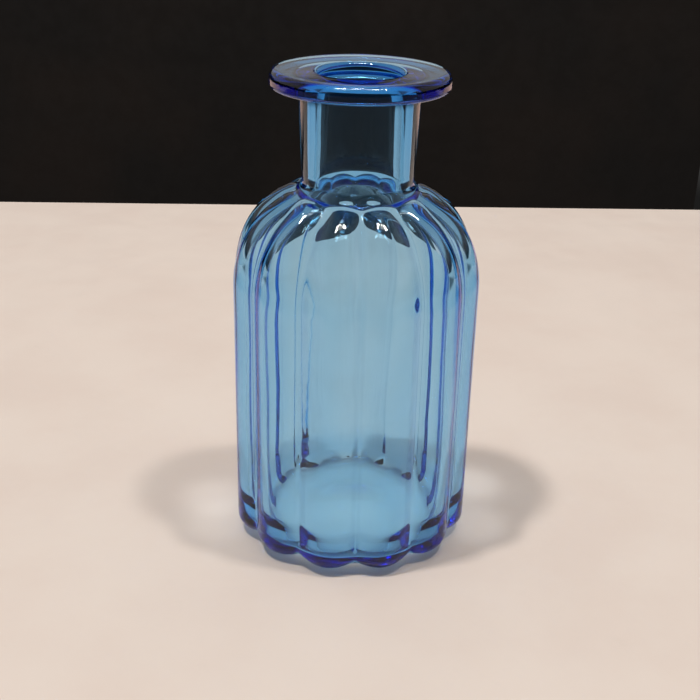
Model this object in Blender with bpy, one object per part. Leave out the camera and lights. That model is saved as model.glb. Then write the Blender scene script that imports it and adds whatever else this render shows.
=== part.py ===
"""Glass bud vase: one moulded piece of clear azure glass.

A bottle-shaped vase with a wide flat disc lip, a short neck, a rounded
shoulder and a straight body of twelve broad lobes. The lobes are parted by
narrow smooth grooves that start under the neck, run over the shoulder and
down the body, and turn under the heel. The inner wall follows the lobes
loosely. The vessel is open at the top.

Frame: metres, +Z up, origin at the centre of the foot, on the surface that
the vase stands on. One groove lies on the -Y side.
"""
import math

import bmesh
import bpy

MM = 0.001

# ---------------------------------------------------------------- dimensions
HEIGHT = 125.0 * MM             # foot to the top of the lip

LOBES = 12                      # convex lobes round the body
BODY_R = 32.0 * MM              # radius over the lobes' crests
GROOVE_DEPTH = 2.0 * MM         # crest radius minus groove radius
GROOVE_POWER = 1.05             # lower makes a narrower groove
GROOVE_ROUND = 0.11             # rounding at the bottom of the groove

FOOT_R = 24.8 * MM              # outer radius of the flat ring it stands on
PUSH_UP_R = 16.5 * MM           # shallow hollow under the base
PUSH_UP = 0.8 * MM
HEEL_RISE = 5.2 * MM            # height at which the heel meets the wall

SHOULDER_Z = 71.9 * MM          # the straight wall ends here
SHOULDER_TOP_Z = 96.7 * MM      # top of the shoulder's ellipse
SHOULDER_AXIS_R = 10.9 * MM     # and the radius of that top
SHOULDER_STOP_R = 17.0 * MM     # the lobes' noses end here, at a hollow ring
NOSE_FROM_R = 15.3 * MM         # the lobes would have sunk away here
NOSE_TO_R = 18.0 * MM           # the lobes stand fully from here outwards
RING_RISE = 2.6 * MM            # fillet from the ring up into the neck
RING_DEPTH = 0.48               # share of the groove depth kept in the ring
RING_FADE = 5.9 * MM            # width over which the grooves deepen

NECK_R_BASE = 14.0 * MM
NECK_R_TOP = 14.9 * MM

LIP_R = 22.1 * MM
LIP_THICK = 4.3 * MM
LIP_TOP_ROUND = 2.0 * MM
LIP_LOWER_ROUND = 1.2 * MM
LIP_ROOT_FILLET = 1.4 * MM

BORE_R = 10.4 * MM              # inside the neck
MOUTH_FLARE = 1.3 * MM          # rounding of the mouth's edge, along the lip
MOUTH_DROP = 1.6 * MM           # and down the bore
LIP_DISH = 0.35 * MM            # the lip's top falls this much to the mouth

WALL = 2.9 * MM                 # body wall at a crest
INNER_LOBES = 1.0               # share of the groove depth inside
INNER_SHOULDER_Z = 74.6 * MM
INNER_SHOULDER_TOP_Z = 93.9 * MM
INNER_SHOULDER_AXIS_R = 10.0 * MM
INNER_FADE_FROM_R = 13.3 * MM   # the inner lobes start here, under the neck
INNER_FADE = 7.3 * MM           # and are full after this width
INNER_EDGE = 3.0 * MM           # rounding where the bore opens into the body
INNER_EDGE_RISE = 6.0 * MM
TAPER_TOP_Z = 12.3 * MM         # below this the wall thickens inwards
TAPER_END_Z = 6.2 * MM
TAPER_IN = 1.7 * MM             # by this much
FLOOR_CORNER = 4.2 * MM         # rounding between floor and wall
FLOOR_CORNER_RISE = 4.4 * MM

STEPS_PER_LOBE = 8              # faces across one lobe
CROWDING = 0.45                 # 0 is even, nearer 1 crowds the grooves

GLASS_COLOUR = (0.26, 0.58, 0.83, 1.0)


# ------------------------------------------------------------------- helpers
def arc(centre_r, centre_z, radius_r, radius_z, start, end, steps):
    """Points after the first along an elliptic arc in the (r, z) plane."""
    points = []
    for i in range(1, steps + 1):
        a = math.radians(start + (end - start) * i / steps)
        points.append((centre_r + radius_r * math.cos(a),
                       centre_z + radius_z * math.sin(a)))
    return points


def line(start, end, steps):
    """Points after the first along a straight line in the (r, z) plane."""
    return [(start[0] + (end[0] - start[0]) * i / steps,
             start[1] + (end[1] - start[1]) * i / steps)
            for i in range(1, steps + 1)]


def quarter(r_axis, r_body, z_body, z_top, r_stop, steps):
    """Elliptic shoulder from the wall up to r_stop."""
    a_stop = math.acos((r_stop - r_axis) / (r_body - r_axis))
    return [(r_axis + (r_body - r_axis) * math.cos(a_stop * i / steps),
             z_body + (z_top - z_body) * math.sin(a_stop * i / steps))
            for i in range(1, steps + 1)]


def smooth(x):
    x = min(max(x, 0.0), 1.0)
    return x * x * (3.0 - 2.0 * x)


# ------------------------------------------------------------------- section
def vase_section():
    """Half section of the glass, from the middle of the underside, up the
    outside, over the lip, and down the inside to the middle of the floor.

    Each row is (r, z, depth, lobe, inside, keep): depth is the share of the
    groove depth cut along the section's normal, lobe is 1 where the lobes
    stand and 0 where the cut is the same all round, inside is 1 on the inner
    surface, keep marks the rows that carry vertices."""
    rows = []

    def add(points, depth, lobe, every=1, inside=0):
        last = len(points) - 1
        for i, (r, z) in enumerate(points):
            keep = i == last or (last - i) % every == 0
            rows.append((r, z,
                         depth(r, z) if callable(depth) else depth,
                         lobe(r, z) if callable(lobe) else lobe,
                         inside, keep))

    # underside: shallow push-up, then the flat ring
    add([(PUSH_UP_R * i / 9.0, PUSH_UP * (1.0 - (i / 9.0) ** 2) ** 1.5)
         for i in range(10)], 0.0, 1.0, 3)
    add(line((PUSH_UP_R, 0.0), (FOOT_R, 0.0), 8), 0.0, 1.0, 4)

    # heel: the cut grows to its full depth over the first part of the curve
    def under(r, z):
        return smooth((r - FOOT_R) / (0.55 * (BODY_R - FOOT_R)) + 0.35)

    add(arc(FOOT_R, HEEL_RISE, BODY_R - FOOT_R, HEEL_RISE, -90.0, 0.0, 18),
        under, 1.0, 3)
    # wall
    add(line((BODY_R, HEEL_RISE), (BODY_R, SHOULDER_Z), 33), 1.0, 1.0, 11)

    # shoulder: each lobe ends in a rounded nose at the ring round the neck
    def deepening(r, z):
        return RING_DEPTH + (1.0 - RING_DEPTH) * smooth(
            (r - SHOULDER_STOP_R) / RING_FADE)

    def nose(r, z):
        return smooth((r - NOSE_FROM_R) / (NOSE_TO_R - NOSE_FROM_R)) ** 0.7

    add(quarter(SHOULDER_AXIS_R, BODY_R, SHOULDER_Z, SHOULDER_TOP_Z,
                SHOULDER_STOP_R, 48), deepening, nose, 4)

    # hollow ring and its fillet into the neck
    r0, z0 = rows[-1][:2]

    def fade(r, z):
        return smooth((r - NECK_R_BASE) / (r0 - NECK_R_BASE))

    def ring(r, z):
        return RING_DEPTH * fade(r, z)

    def ring_lobe(r, z):
        return nose(r0, z) * fade(r, z)

    add(arc(r0, z0 + RING_RISE, r0 - NECK_R_BASE, RING_RISE,
            265.0, 180.0, 12), ring, ring_lobe, 3)
    # neck
    low = HEIGHT - LIP_THICK
    add(line((NECK_R_BASE, z0 + RING_RISE),
             (NECK_R_TOP, low - LIP_ROOT_FILLET), 12), 0.0, 0.0, 12)
    add(arc(NECK_R_TOP + LIP_ROOT_FILLET, low - LIP_ROOT_FILLET,
            LIP_ROOT_FILLET, LIP_ROOT_FILLET, 180.0, 90.0, 6), 0.0, 0.0, 3)
    # lip: underside, rounded edge, top
    add(line((NECK_R_TOP + LIP_ROOT_FILLET, low),
             (LIP_R - LIP_LOWER_ROUND, low), 4), 0.0, 0.0, 4)
    add(arc(LIP_R - LIP_LOWER_ROUND, low + LIP_LOWER_ROUND,
            LIP_LOWER_ROUND, LIP_LOWER_ROUND, -90.0, 0.0, 6), 0.0, 0.0, 2)
    add(line((LIP_R, low + LIP_LOWER_ROUND),
             (LIP_R, HEIGHT - LIP_TOP_ROUND), 3), 0.0, 0.0, 3)
    add(arc(LIP_R - LIP_TOP_ROUND, HEIGHT - LIP_TOP_ROUND,
            LIP_TOP_ROUND, LIP_TOP_ROUND, 0.0, 90.0, 8), 0.0, 0.0, 2)
    mouth = HEIGHT - LIP_DISH
    add(line((LIP_R - LIP_TOP_ROUND, HEIGHT),
             (BORE_R + MOUTH_FLARE, mouth), 6), 0.0, 0.0, 6)
    add(arc(BORE_R + MOUTH_FLARE, mouth - MOUTH_DROP,
            MOUTH_FLARE, MOUTH_DROP, 90.0, 180.0, 9), 0.0, 0.0, 3)

    # inside of the neck and shoulder
    inner_r = BODY_R - WALL
    r_edge = BORE_R + INNER_EDGE
    curve = quarter(INNER_SHOULDER_AXIS_R, inner_r, INNER_SHOULDER_Z,
                    INNER_SHOULDER_TOP_Z, r_edge, 26)
    z_edge = curve[-1][1]

    def inner_depth(r, z):
        up = smooth((r - INNER_FADE_FROM_R) / INNER_FADE)
        if z < 40.0 * MM:
            down = smooth((r - inner_r + TAPER_IN + FLOOR_CORNER)
                          / FLOOR_CORNER)
        else:
            down = 1.0
        return INNER_LOBES * up * down

    add(line((BORE_R, mouth - MOUTH_DROP),
             (BORE_R, z_edge + INNER_EDGE_RISE), 8), 0.0, 0.0, 8, 1)
    add(arc(r_edge, z_edge + INNER_EDGE_RISE, INNER_EDGE, INNER_EDGE_RISE,
            180.0, 262.0, 18), 0.0, 0.0, 6, 1)
    add(curve[-2::-1], inner_depth, 1.0, 4, 1)
    add([(inner_r, INNER_SHOULDER_Z)], inner_depth, 1.0, 1, 1)
    # inside wall; it thickens towards the base, then rounds into the floor
    slope = TAPER_IN / (TAPER_TOP_Z - TAPER_END_Z)
    below = (inner_r - slope * 0.8 * MM, TAPER_TOP_Z - 0.8 * MM)
    add(line((inner_r, INNER_SHOULDER_Z),
             (inner_r, TAPER_TOP_Z + 0.8 * MM), 26),
        inner_depth, 1.0, 26, 1)
    add([(inner_r - 0.05 * MM, TAPER_TOP_Z + 0.2 * MM), below],
        inner_depth, 1.0, 1, 1)
    add(line(below, (inner_r - TAPER_IN, TAPER_END_Z), 5),
        inner_depth, 1.0, 5, 1)
    turn = math.atan(slope * FLOOR_CORNER_RISE / FLOOR_CORNER)
    corner_r = inner_r - TAPER_IN - FLOOR_CORNER * math.cos(turn)
    corner_z = TAPER_END_Z + FLOOR_CORNER_RISE * math.sin(turn)
    add(arc(corner_r, corner_z, FLOOR_CORNER, FLOOR_CORNER_RISE,
            -math.degrees(turn), -90.0, 12), inner_depth, 1.0, 3, 1)
    add(line((corner_r, corner_z - FLOOR_CORNER_RISE),
             (0.0, corner_z - FLOOR_CORNER_RISE), 8), 0.0, 1.0, 4, 1)
    return rows


def section_normals(rows):
    """Unit normals of the section, turned outwards on the outside and away
    from the axis on the inside."""
    normals = []
    for i, row in enumerate(rows):
        before, after = rows[max(i - 1, 0)], rows[min(i + 1, len(rows) - 1)]
        dr, dz = after[0] - before[0], after[1] - before[1]
        length = math.hypot(dr, dz)
        side = -1.0 if row[4] else 1.0
        normals.append((side * dz / length, -side * dr / length))
    return normals


def groove_shape(angle):
    """1 in the middle of a groove, 0 on a crest. Angle 0 is the -Y side."""
    s = abs(math.sin(angle * LOBES / 2.0))
    e = GROOVE_ROUND
    low = (e * e / (1.0 + e * e)) ** (GROOVE_POWER / 2.0)
    value = ((s * s + e * e) / (1.0 + e * e)) ** (GROOVE_POWER / 2.0)
    return 1.0 - (value - low) / (1.0 - low)


# --------------------------------------------------------------------- build
def build_vase():
    rows = vase_section()
    normals = section_normals(rows)
    kept = [(row, normal) for row, normal in zip(rows, normals) if row[5]]

    steps = LOBES * STEPS_PER_LOBE
    angles = []
    for j in range(steps):
        a = 2.0 * math.pi * j / steps
        angles.append(a - CROWDING * math.sin(a * LOBES) / LOBES)

    bm = bmesh.new()
    rings = []
    for (r, z, depth, lobe, inside, keep), (nr, nz) in kept:
        if r < 1.0e-6:
            rings.append([bm.verts.new((0.0, 0.0, z))])
            continue
        ring = []
        for a in angles:
            cut = depth * (1.0 - (1.0 - groove_shape(a)) * lobe) * GROOVE_DEPTH
            rr, zz = r - cut * nr, z - cut * nz
            ring.append(bm.verts.new((rr * math.sin(a), -rr * math.cos(a), zz)))
        rings.append(ring)

    for lower, upper in zip(rings, rings[1:]):
        for j in range(steps):
            k = (j + 1) % steps
            if len(lower) == 1:
                bm.faces.new((lower[0], upper[k], upper[j]))
            elif len(upper) == 1:
                bm.faces.new((lower[j], lower[k], upper[0]))
            else:
                bm.faces.new((lower[j], lower[k], upper[k], upper[j]))

    bmesh.ops.recalc_face_normals(bm, faces=bm.faces[:])
    mesh = bpy.data.meshes.new("glass_vase")
    bm.to_mesh(mesh)
    bm.free()
    mesh.shade_smooth()
    mesh.set_sharp_from_angle(angle=math.radians(50.0))
    return bpy.data.objects.new("glass_vase", mesh)


def glass_material():
    material = bpy.data.materials.new("azure_glass")
    material.use_nodes = True
    shader = material.node_tree.nodes["Principled BSDF"]
    shader.inputs["Base Color"].default_value = GLASS_COLOUR
    shader.inputs["Metallic"].default_value = 0.0
    shader.inputs["Roughness"].default_value = 0.04
    shader.inputs["IOR"].default_value = 1.52
    shader.inputs["Transmission Weight"].default_value = 1.0
    material.diffuse_color = GLASS_COLOUR
    return material


def main():
    for obj in list(bpy.data.objects):
        bpy.data.objects.remove(obj, do_unlink=True)
    vase = build_vase()
    vase.data.materials.append(glass_material())
    bpy.context.scene.collection.objects.link(vase)


main()
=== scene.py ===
import math

import bpy
import numpy as np
from mathutils import Matrix, Vector


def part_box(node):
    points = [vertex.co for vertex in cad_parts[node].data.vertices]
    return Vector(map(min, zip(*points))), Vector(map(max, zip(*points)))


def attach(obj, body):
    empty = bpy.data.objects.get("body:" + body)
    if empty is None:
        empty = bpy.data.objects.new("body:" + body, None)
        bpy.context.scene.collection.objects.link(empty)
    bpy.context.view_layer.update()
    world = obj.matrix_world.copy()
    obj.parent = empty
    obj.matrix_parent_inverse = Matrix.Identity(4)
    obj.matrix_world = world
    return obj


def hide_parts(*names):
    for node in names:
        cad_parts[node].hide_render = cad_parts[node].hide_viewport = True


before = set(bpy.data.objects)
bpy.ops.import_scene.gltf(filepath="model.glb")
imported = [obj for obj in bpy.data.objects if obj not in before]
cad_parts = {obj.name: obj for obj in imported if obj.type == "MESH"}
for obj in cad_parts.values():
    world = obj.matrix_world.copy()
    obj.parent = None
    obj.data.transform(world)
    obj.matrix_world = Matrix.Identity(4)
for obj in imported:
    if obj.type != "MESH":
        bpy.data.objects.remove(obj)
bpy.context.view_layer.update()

SCENE = bpy.context.scene
MM = 0.001

# --------------------------------------------------------------------------
# sizes of the glass, in metres (the CAD box is the outer limit)
# --------------------------------------------------------------------------
NODE_LO, NODE_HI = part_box("glass_vase")
HEIGHT = NODE_HI[2] - NODE_LO[2]
LOBES = 12
BODY_R = 32.0 * MM
GROOVE_DEPTH = 2.0 * MM
GROOVE_POWER, GROOVE_ROUND = 1.05, 0.11
FOOT_R = 24.8 * MM
HEEL_RISE = 5.2 * MM
PUSH_UP_R, PUSH_UP = 16.5 * MM, 0.8 * MM
SHOULDER_Z, SHOULDER_TOP_Z, SHOULDER_AXIS_R = 71.9 * MM, 96.7 * MM, 10.9 * MM
SHOULDER_STOP_R = 17.0 * MM
NOSE_FROM, NOSE_TO = 15.3 * MM, 18.0 * MM
NECK_R_BASE, NECK_R_TOP = 14.0 * MM, 14.9 * MM
RING_RISE, RING_DEPTH = 2.6 * MM, 0.48
LIP_R, LIP_THICK = 22.1 * MM, 4.3 * MM
LIP_TOP_ROUND, LIP_LOWER_ROUND, LIP_ROOT = 2.0 * MM, 1.2 * MM, 1.4 * MM
BORE_R, MOUTH_FLARE, MOUTH_DROP, LIP_DISH = 10.4 * MM, 1.3 * MM, 1.6 * MM, 0.35 * MM
WALL = 2.9 * MM
IN_LOBE = 1.00
IN_SHOULDER_Z, IN_TOP_Z = 74.6 * MM, 93.9 * MM
IN_EDGE, IN_EDGE_RISE = 3.0 * MM, 6.0 * MM
TAPER_TOP_Z, TAPER_END_Z, TAPER_IN = 12.3 * MM, 6.2 * MM, 1.7 * MM
FLOOR_CORNER, FLOOR_CORNER_RISE = 4.2 * MM, 4.4 * MM

RIPPLE = 0.09 * MM

AROUND = 28 * LOBES          # faces round the vase


# --------------------------------------------------------------------------
# the half section: rows of (r, z, depth share, lobe share, inside)
# depth share: how much of the groove depth is cut, along the section's normal
# lobe share: 1 where the lobes stand, 0 where the cut is the same all round
# --------------------------------------------------------------------------
def arc(cr, cz, rr, rz, a0, a1, n):
    t = np.radians(np.linspace(a0, a1, n + 1)[1:])
    return list(zip(cr + rr * np.cos(t), cz + rz * np.sin(t)))


def line(p, q, n):
    t = np.linspace(0.0, 1.0, n + 1)[1:]
    return [(p[0] + (q[0] - p[0]) * s, p[1] + (q[1] - p[1]) * s) for s in t]


def quarter(r_axis, r_body, z_body, z_top, r_stop, n):
    """Elliptic shoulder from the wall up to r_stop."""
    a_stop = math.acos((r_stop - r_axis) / (r_body - r_axis))
    return [(r_axis + (r_body - r_axis) * math.cos(a_stop * i / n),
             z_body + (z_top - z_body) * math.sin(a_stop * i / n))
            for i in range(1, n + 1)]


def smooth(x):
    x = np.clip(x, 0.0, 1.0)
    return x * x * (3 - 2 * x)


def section():
    rows = []

    def add(points, depth, lobe, inside=0.0):
        for r, z in points:
            rows.append((r, z, depth(r, z) if callable(depth) else depth,
                         lobe(r, z) if callable(lobe) else lobe, inside))

    # underside
    add([(PUSH_UP_R * s, PUSH_UP * (1 - s * s) ** 1.5)
         for s in np.linspace(0, 1, 10)], 0.0, 1.0)
    add(line((PUSH_UP_R, 0), (FOOT_R, 0), 8), 0.0, 1.0)
    # heel: the cut grows to its full depth over the first part of the curve
    add(arc(FOOT_R, HEEL_RISE, BODY_R - FOOT_R, HEEL_RISE, -90, 0, 18),
        lambda r, z: float(smooth((r - FOOT_R) / (0.55 * (BODY_R - FOOT_R)) + 0.35)), 1.0)
    # wall
    add(line((BODY_R, HEEL_RISE), (BODY_R, SHOULDER_Z), 34), 1.0, 1.0)

    # shoulder: each lobe ends in a rounded nose at the ring round the neck
    def nose(r, z):
        t = min(max((r - NOSE_FROM) / (NOSE_TO - NOSE_FROM), 0.0), 1.0)
        return float(smooth(t)) ** 0.7

    def deepening(r, z):
        return RING_DEPTH + (1 - RING_DEPTH) * float(smooth((r - SHOULDER_STOP_R) / (5.9 * MM)))

    add(quarter(SHOULDER_AXIS_R, BODY_R, SHOULDER_Z, SHOULDER_TOP_Z,
                SHOULDER_STOP_R, 48), deepening, nose)
    # hollow ring at the foot of the neck: a fillet at the grooves' depth
    r0, z0 = rows[-1][:2]

    def fade(r, z):
        return float(smooth((r - NECK_R_BASE) / (r0 - NECK_R_BASE)))

    add(arc(r0, z0 + RING_RISE, r0 - NECK_R_BASE, RING_RISE, 265, 180, 12),
        lambda r, z: RING_DEPTH * fade(r, z), lambda r, z: nose(r0, z) * fade(r, z))
    # neck
    low = HEIGHT - LIP_THICK
    add(line((NECK_R_BASE, z0 + RING_RISE), (NECK_R_TOP, low - LIP_ROOT), 12), 0.0, 0.0)
    add(arc(NECK_R_TOP + LIP_ROOT, low - LIP_ROOT, LIP_ROOT, LIP_ROOT, 180, 90, 5), 0.0, 0.0)
    # lip
    add(line((NECK_R_TOP + LIP_ROOT, low), (LIP_R - LIP_LOWER_ROUND, low), 4), 0.0, 0.0)
    add(arc(LIP_R - LIP_LOWER_ROUND, low + LIP_LOWER_ROUND, LIP_LOWER_ROUND,
            LIP_LOWER_ROUND, -90, 0, 8), 0.0, 0.0)
    add(line((LIP_R, low + LIP_LOWER_ROUND), (LIP_R, HEIGHT - LIP_TOP_ROUND), 3), 0.0, 0.0)
    add(arc(LIP_R - LIP_TOP_ROUND, HEIGHT - LIP_TOP_ROUND, LIP_TOP_ROUND,
            LIP_TOP_ROUND, 0, 90, 8), 0.0, 0.0)
    mouth = HEIGHT - LIP_DISH
    add(line((LIP_R - LIP_TOP_ROUND, HEIGHT), (BORE_R + MOUTH_FLARE, mouth), 6), 0.0, 0.0)
    add(arc(BORE_R + MOUTH_FLARE, mouth - MOUTH_DROP, MOUTH_FLARE, MOUTH_DROP, 90, 180, 12), 0.0, 0.0)
    # inside
    inner_r = BODY_R - WALL
    r_edge = BORE_R + IN_EDGE
    curve = quarter(BORE_R - 0.4 * MM, inner_r, IN_SHOULDER_Z, IN_TOP_Z, r_edge, 26)
    z_edge = curve[-1][1]

    def in_lobe(r, z):
        up = float(smooth((r - BORE_R - 2.9 * MM) / (7.3 * MM)))
        down = float(smooth((r - inner_r + TAPER_IN + FLOOR_CORNER) / FLOOR_CORNER))
        down = down if z < 40 * MM else 1.0
        return IN_LOBE * up * down

    add(line((BORE_R, mouth - MOUTH_DROP), (BORE_R, z_edge + IN_EDGE_RISE), 8), 0.0, 0.0, 1.0)
    add(arc(r_edge, z_edge + IN_EDGE_RISE, IN_EDGE, IN_EDGE_RISE, 180, 262, 18), 0.0, 0.0, 1.0)
    add(curve[-2::-1], in_lobe, 1.0, 1.0)
    add([(inner_r, IN_SHOULDER_Z)], in_lobe, 1.0, 1.0)
    add(line((inner_r, IN_SHOULDER_Z), (inner_r, TAPER_TOP_Z + 0.8 * MM), 26), in_lobe, 1.0, 1.0)
    # the wall thickens towards the base, then rounds into the floor
    slope = TAPER_IN / (TAPER_TOP_Z - TAPER_END_Z)
    add([(inner_r - 0.05 * MM, TAPER_TOP_Z + 0.2 * MM),
         (inner_r - slope * 0.8 * MM, TAPER_TOP_Z - 0.8 * MM)], in_lobe, 1.0, 1.0)
    add(line((inner_r - slope * 0.8 * MM, TAPER_TOP_Z - 0.8 * MM),
             (inner_r - TAPER_IN, TAPER_END_Z), 5), in_lobe, 1.0, 1.0)
    turn = math.atan(slope * FLOOR_CORNER_RISE / FLOOR_CORNER)
    cr = inner_r - TAPER_IN - FLOOR_CORNER * math.cos(turn)
    cz = TAPER_END_Z + FLOOR_CORNER_RISE * math.sin(turn)
    add(arc(cr, cz, FLOOR_CORNER, FLOOR_CORNER_RISE, -math.degrees(turn), -90, 14), in_lobe, 1.0, 1.0)
    add(line((cr, cz - FLOOR_CORNER_RISE), (0.0, cz - FLOOR_CORNER_RISE), 8), 0.0, 1.0, 1.0)
    return np.array(rows)


def groove_shape(angle):
    s = np.abs(np.sin(angle * LOBES / 2))
    e = GROOVE_ROUND
    return 1 - (((s * s + e * e) / (1 + e * e)) ** (GROOVE_POWER / 2)
                - (e * e / (1 + e * e)) ** (GROOVE_POWER / 2)) / (
                    1 - (e * e / (1 + e * e)) ** (GROOVE_POWER / 2))


def ripple(angle, z):
    """Slow unevenness of the inner wall, as the glass was blown."""
    h = z / HEIGHT
    waves = ((3, 5.1, 0.4, 1.0), (5, -8.3, 2.1, 0.7), (2, 12.7, 4.0, 0.6),
             (7, 9.9, 1.2, 0.5), (11, -17.0, 5.3, 0.35), (4, 23.0, 3.3, 0.3))
    total = 0.0
    for around, up, phase, share in waves:
        total = total + share * np.sin(around * angle + up * h + phase)
    return RIPPLE * total


def build_vase():
    rows = section()
    r, z, depth, lobe, inside = rows.T
    n = len(rows)
    # outward normal of the section, from central differences
    dr, dz = np.gradient(r), np.gradient(z)
    length = np.hypot(dr, dz) + 1e-12
    nr, nz = dz / length, -dr / length
    nr, nz = np.where(inside > 0, -nr, nr), np.where(inside > 0, -nz, nz)
    a = np.arange(AROUND) * 2 * math.pi / AROUND
    a = a - 0.45 * np.sin(a * LOBES) / LOBES
    cut = 1 - (1 - groove_shape(a))[None, :] * lobe[:, None]
    cut = cut * depth[:, None] * GROOVE_DEPTH
    cut = cut + inside[:, None] * ripple(a[None, :], z[:, None]) * np.minimum(depth, 1)[:, None]
    R = np.maximum(r[:, None] - cut * nr[:, None], 0)
    Z = z[:, None] - cut * nz[:, None]
    X, Y = R * np.sin(a), -R * np.cos(a)
    verts = [(0.0, 0.0, float(z[0]))]
    for i in range(1, n - 1):
        verts += list(zip(X[i].tolist(), Y[i].tolist(), Z[i].tolist()))
    verts.append((0.0, 0.0, float(z[-1])))
    faces = []
    for j in range(AROUND):
        k = (j + 1) % AROUND
        faces.append((0, 1 + k, 1 + j))
    for i in range(n - 3):
        b, t = 1 + i * AROUND, 1 + (i + 1) * AROUND
        for j in range(AROUND):
            k = (j + 1) % AROUND
            faces.append((b + j, b + k, t + k, t + j))
    last = len(verts) - 1
    b = 1 + (n - 3) * AROUND
    for j in range(AROUND):
        k = (j + 1) % AROUND
        faces.append((b + j, b + k, last))
    mesh = bpy.data.meshes.new("vase_glass")
    mesh.from_pydata(verts, [], faces)
    mesh.validate()
    mesh.shade_smooth()
    obj = bpy.data.objects.new("vase_glass", mesh)
    SCENE.collection.objects.link(obj)
    return obj


# --------------------------------------------------------------------------
# materials
# --------------------------------------------------------------------------
def new_material(name):
    m = bpy.data.materials.new(name)
    m.use_nodes = True
    nodes, links = m.node_tree.nodes, m.node_tree.links
    return m, nodes, links, nodes["Principled BSDF"]


def ramp(nodes, links, value, lo, hi, out_lo=0.0, out_hi=1.0):
    n = nodes.new("ShaderNodeMapRange")
    n.interpolation_type = "SMOOTHSTEP"
    links.new(value, n.inputs["Value"])
    n.inputs["From Min"].default_value, n.inputs["From Max"].default_value = lo, hi
    n.inputs["To Min"].default_value, n.inputs["To Max"].default_value = out_lo, out_hi
    return n.outputs["Result"]


def math_node(nodes, links, op, a, b=None):
    n = nodes.new("ShaderNodeMath")
    n.operation = op
    for i, v in enumerate((a, b)):
        if v is None:
            continue
        if isinstance(v, (int, float)):
            n.inputs[i].default_value = v
        else:
            links.new(v, n.inputs[i])
    return n.outputs[0]


def mix_colour(nodes, links, factor, a, b, blend="MIX"):
    n = nodes.new("ShaderNodeMix")
    n.data_type, n.blend_type = "RGBA", blend
    for key, v in (("Factor", factor), ("A", a), ("B", b)):
        socket = next(i for i in n.inputs if i.name == key and i.enabled)
        if isinstance(v, (int, float, tuple)):
            socket.default_value = v
        else:
            links.new(v, socket)
    return next(o for o in n.outputs if o.enabled)


def noise(nodes, links, vector, scale, detail=3.0, rough=0.55):
    n = nodes.new("ShaderNodeTexNoise")
    links.new(vector, n.inputs["Vector"])
    n.inputs["Scale"].default_value = scale
    n.inputs["Detail"].default_value = detail
    n.inputs["Roughness"].default_value = rough
    return n.outputs["Fac"]


def glass_material():
    """Clear azure glass; the colour comes from its thickness. The skin is
    faintly uneven, with a fine haze that comes and goes over it."""
    m, nodes, links, shader = new_material("azure_glass")
    shader.inputs["Base Color"].default_value = (1, 1, 1, 1)
    shader.inputs["Transmission Weight"].default_value = 1.0
    shader.inputs["IOR"].default_value = 1.5
    where = nodes.new("ShaderNodeTexCoord").outputs["Object"]
    haze = ramp(nodes, links, noise(nodes, links, where, 140.0, 4.0, 0.6), 0.45, 0.75, 0.002, 0.022)
    links.new(haze, shader.inputs["Roughness"])
    bump = nodes.new("ShaderNodeBump")
    bump.inputs["Strength"].default_value = 0.30
    bump.inputs["Distance"].default_value = 0.00010
    links.new(noise(nodes, links, where, 150.0, 1.5, 0.4), bump.inputs["Height"])
    links.new(bump.outputs["Normal"], shader.inputs["Normal"])
    out = nodes["Material Output"]
    vol = nodes.new("ShaderNodeVolumeAbsorption")
    vol.inputs["Color"].default_value = (0.0, 0.648, 0.975, 1)
    vol.inputs["Density"].default_value = 192.0
    links.new(vol.outputs["Volume"], out.inputs["Volume"])
    return m


def floor_material():
    """Pale smooth table with faint mottling; painted shade darkens it towards the sides and the front."""
    m, nodes, links, shader = new_material("pale_floor")
    where = nodes.new("ShaderNodeNewGeometry").outputs["Position"]
    split = nodes.new("ShaderNodeSeparateXYZ")
    links.new(where, split.inputs[0])
    mottle = ramp(nodes, links, noise(nodes, links, where, 22.0, 4.0), 0.35, 0.70)
    colour = mix_colour(nodes, links, mottle, (0.745, 0.655, 0.600, 1), (0.715, 0.615, 0.560, 1))
    stain = ramp(nodes, links, noise(nodes, links, where, 60.0, 6.0, 0.7), 0.62, 0.78, 0.0, 0.25)
    colour = mix_colour(nodes, links, stain, colour, (0.60, 0.53, 0.46, 1))
    side = math_node(nodes, links, "ABSOLUTE", split.outputs[0])
    painted_shade_sides = math_node(nodes, links, "MULTIPLY", ramp(nodes, links, side, 0.185, 0.26),
                       ramp(nodes, links, split.outputs[1], 0.19, 0.13))
    painted_shade_edges = math_node(nodes, links, "MAXIMUM", painted_shade_sides,
                     ramp(nodes, links, split.outputs[1], -0.15, -0.21))
    # painted shade: the table colour turns dark at the sides and the front, in place of the light falling off there
    colour = mix_colour(nodes, links, painted_shade_edges, colour, (0.15, 0.13, 0.118, 1))
    links.new(colour, shader.inputs["Base Color"])
    links.new(ramp(nodes, links, noise(nodes, links, where, 90.0, 2.0), 0.3, 0.7, 0.48, 0.62),
              shader.inputs["Roughness"])
    return m


# --------------------------------------------------------------------------
# build
# --------------------------------------------------------------------------
vase = build_vase()
vase.data.materials.append(glass_material())
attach(vase, "root")
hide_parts("glass_vase")


def plane(name, corners, material):
    mesh = bpy.data.meshes.new(name)
    mesh.from_pydata(corners, [], [tuple(range(len(corners)))])
    mesh.materials.append(material)
    o = bpy.data.objects.new(name, mesh)
    SCENE.collection.objects.link(o)
    return o


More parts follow.
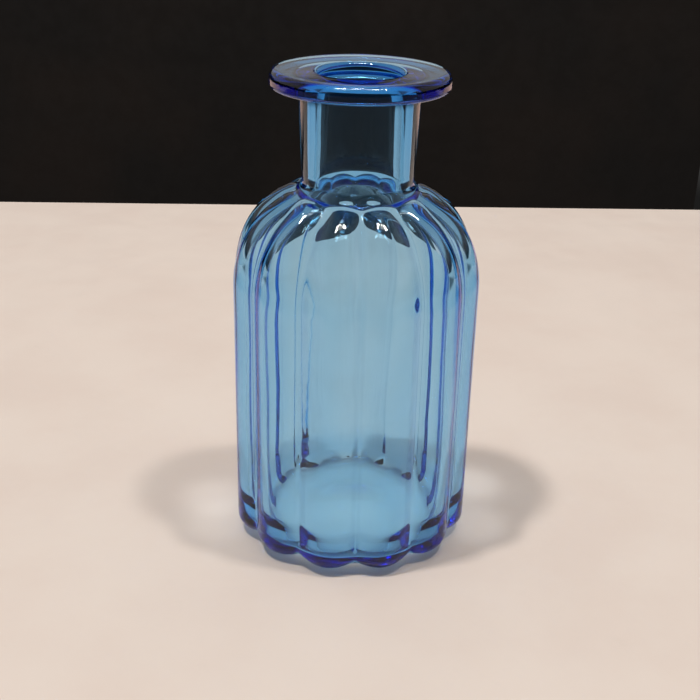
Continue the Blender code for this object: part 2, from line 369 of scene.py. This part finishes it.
EDGE_Y, NEAR_Y, SIDE_X = 0.29, -1.0, 1.0
GAP = 0.12 * MM              # glass rests on a few points, with air between
plane("floor", [(-SIDE_X, NEAR_Y, -GAP), (SIDE_X, NEAR_Y, -GAP), (SIDE_X, EDGE_Y - 0.014 * SIDE_X, -GAP), (-SIDE_X, EDGE_Y + 0.014 * SIDE_X, -GAP)], floor_material())
dark, dn, dl, ds = new_material("dark_backdrop")
spot_at = dn.new("ShaderNodeNewGeometry").outputs["Position"]
cloud = ramp(dn, dl, noise(dn, dl, spot_at, 5.0, 2.0), 0.35, 0.70)
dl.new(mix_colour(dn, dl, cloud, (0.011, 0.0085, 0.008, 1), (0.019, 0.0125, 0.010, 1)), ds.inputs["Base Color"])
dl.new(ramp(dn, dl, noise(dn, dl, spot_at, 40.0, 2.0), 0.3, 0.7, 0.82, 0.95), ds.inputs["Roughness"])
plane("backdrop", [(-0.54, 1.2, -1.0), (0.54, 1.2, -1.0), (0.54, 1.2, 0.27), (-0.54, 1.2, 0.27)], dark)

# --------------------------------------------------------------------------
# light
# --------------------------------------------------------------------------
world = bpy.data.worlds.new("studio")
SCENE.world = world
world.use_nodes = True
wn, wl = world.node_tree.nodes, world.node_tree.links
bg = wn["Background"]
coord = wn.new("ShaderNodeTexCoord")
sep = wn.new("ShaderNodeSeparateXYZ")
wl.new(coord.outputs["Generated"], sep.inputs[0])


def wmath(op, a, b=None, clamp=False):
    n = wn.new("ShaderNodeMath")
    n.operation, n.use_clamp = op, clamp
    for i, v in enumerate((a, b)):
        if v is None:
            continue
        if isinstance(v, (int, float)):
            n.inputs[i].default_value = v
        else:
            wl.new(v, n.inputs[i])
    return n.outputs[0]


def wramp(value, lo, hi, out_lo=0.0, out_hi=1.0):
    n = wn.new("ShaderNodeMapRange")
    n.interpolation_type = "SMOOTHSTEP"
    wl.new(value, n.inputs["Value"])
    n.inputs["From Min"].default_value, n.inputs["From Max"].default_value = lo, hi
    n.inputs["To Min"].default_value, n.inputs["To Max"].default_value = out_lo, out_hi
    return n.outputs["Result"]


sx, sy, sz = sep.outputs
across = wmath("ABSOLUTE", sx)
ceiling = wramp(sz, 0.28, 0.60, 0.0, 0.17)            # pale ceiling
walls = wmath("MULTIPLY", wramp(across, 0.50, 0.75, 0.0, 0.42),
              wramp(sz, 0.06, 0.22))                  # pale walls left and right
behind = wmath("MULTIPLY", wramp(sy, 0.15, 0.45, 0.0, 0.38),
               wramp(sz, 0.10, 0.17))                 # room above the dark backdrop
far = wmath("MULTIPLY", wmath("MULTIPLY", wramp(across, 0.33, 0.42), wramp(across, 0.80, 0.88, 1.0, 0.0)),
            wmath("MULTIPLY", wramp(sy, 0.15, 0.30, 0.0, 0.65),
                  wmath("MULTIPLY", wramp(sz, -0.275, -0.24), wramp(sz, -0.17, -0.11, 1.0, 0.0))))
level = wmath("MAXIMUM", wmath("MAXIMUM", ceiling, walls), wmath("MAXIMUM", far, behind))
level = wmath("ADD", level, 0.012)                    # dark room in front
wl.new(level, bg.inputs["Strength"])
tint = wn.new("ShaderNodeMix")
tint.data_type = "RGBA"
wl.new(far, tint.inputs["Factor"])
tint_a, tint_b = [i for i in tint.inputs if i.type == "RGBA"]
tint_a.default_value, tint_b.default_value = (1.0, 0.97, 0.95, 1), (1.9, 1.1, 0.8, 1)
wl.new(next(o for o in tint.outputs if o.type == "RGBA"), bg.inputs["Color"])


def area(name, loc, target, size, power, colour=(1, 0.95, 0.88)):
    data = bpy.data.lights.new(name, "AREA")
    data.shape = "RECTANGLE"
    data.size, data.size_y = size
    data.energy = power
    data.color = colour
    o = bpy.data.objects.new(name, data)
    o.location = loc
    o.rotation_mode = "QUATERNION"
    o.rotation_quaternion = (Vector(target) - Vector(loc)).to_track_quat("-Z", "Y")
    SCENE.collection.objects.link(o)
    return o


through = bpy.data.collections.new("stage_only")
through.objects.link(bpy.data.objects["floor"])
for name, x, power in (("key_left", -0.56, 19.3), ("key_right", 0.58, 11.4)):
    area(name, (x, -0.22, 2.0), (0, 0, 0), (0.12, 0.12), power * 0.93)
    # the share of the lamp that the clear glass lets through to the table
    soft = area(name + "_through", (x, -0.22, 2.0), (0, 0, 0), (0.12, 0.12), power * 0.07)
    soft.light_linking.blocker_collection = through
    soft.visible_glossy = soft.visible_transmission = False
# ceiling lamps that only the glass picks up, as soft warm highlights
glass_only = bpy.data.collections.new("glass_only")
glass_only.objects.link(vase)
for i, (x, y) in enumerate(((-0.46, -0.10), (-0.06, 0.02), (0.40, -0.12))):
    glint = area("overhead_%d" % i, (x, y, 2.1), (0, 0, 0), (0.24, 0.24), 9.0, (1, 0.90, 0.80))
    glint.light_linking.receiver_collection = glass_only
area("overhead_soft", (0, -0.05, 2.1), (0, 0, 0), (0.5, 0.5), 4.5, (1, 0.95, 0.90))
for i, (x, y) in enumerate(((-0.62, 0.35), (-0.30, 0.10), (-0.22, 0.55), (0.12, 0.30), (0.34, 0.05), (0.60, 0.40))):
    area("lamp_%d" % i, (x, y, 1.9), (0, 0, 0), (0.05, 0.05), 0.2, (1, 0.92, 0.82))

# soft fill for the table under the vase; the glass lets it through
def pool(name, x, y, radius, energy, colour, blend):
    spot = bpy.data.lights.new(name, "SPOT")
    spot.energy, spot.color = energy, colour
    spot.shadow_soft_size = 0.004
    spot.spot_size, spot.spot_blend = 2 * math.atan(radius / 1.5), blend
    o = bpy.data.objects.new(name, spot)
    o.location = (x, y, 1.5)
    o.visible_glossy = o.visible_transmission = o.visible_camera = False
    SCENE.collection.objects.link(o)
    o.light_linking.blocker_collection = through


pool("fill_below", 0.0, 0.001, 0.0285, 67.0, (1, 1.0, 0.86), 0.45)
# light gathered by the lobes into small soft patches on the table
for i, (x, y, radius, energy) in enumerate(((-0.0385, 0.009, 0.009, 20.0), (-0.036, -0.004, 0.006, 14.0),
                                            (0.0362, 0.015, 0.007, 26.0), (0.0345, -0.006, 0.008, 20.0))):
    pool("patch_%d" % i, x, y, radius, energy, (0.88, 0.97, 1.0), 1.0)

# --------------------------------------------------------------------------
# camera
# --------------------------------------------------------------------------
DIST, CAM_Z, PITCH, FOCAL, ROLL, CAM_X, YAW, TURN = (
    0.27194, 0.176245, math.radians(24.736), 1122.49, math.radians(1.403),
    -0.000832, math.radians(0.0212), math.radians(3.3))
cam_data = bpy.data.cameras.new("camera")
cam_data.sensor_width = 36.0
cam_data.lens = 36.0 * FOCAL / 700.0
cam_data.clip_start, cam_data.clip_end = 0.01, 50
cam = bpy.data.objects.new("camera", cam_data)
SCENE.collection.objects.link(cam)
right = Vector((math.cos(YAW), math.sin(YAW), 0))
ahead = Vector((-math.sin(YAW), math.cos(YAW), 0))
forward = ahead * math.cos(PITCH) - Vector((0, 0, 1)) * math.sin(PITCH)
up = ahead * math.sin(PITCH) + Vector((0, 0, 1)) * math.cos(PITCH)
r2 = right * math.cos(ROLL) + up * math.sin(ROLL)
u2 = up * math.cos(ROLL) - right * math.sin(ROLL)
turn = Matrix.Rotation(-TURN, 4, "Z")
m = Matrix((r2, u2, -forward)).transposed().to_4x4()
m.translation = Vector((CAM_X, -DIST, CAM_Z))
cam.matrix_world = turn @ m
SCENE.camera = cam

SCENE.view_settings.view_transform = "Standard"
SCENE.view_settings.look = "None"
SCENE.cycles.max_bounces = 24
SCENE.cycles.transmission_bounces = 24
SCENE.cycles.glossy_bounces = 8
SCENE.cycles.diffuse_bounces = 3
SCENE.cycles.caustics_refractive = True
SCENE.cycles.caustics_reflective = True
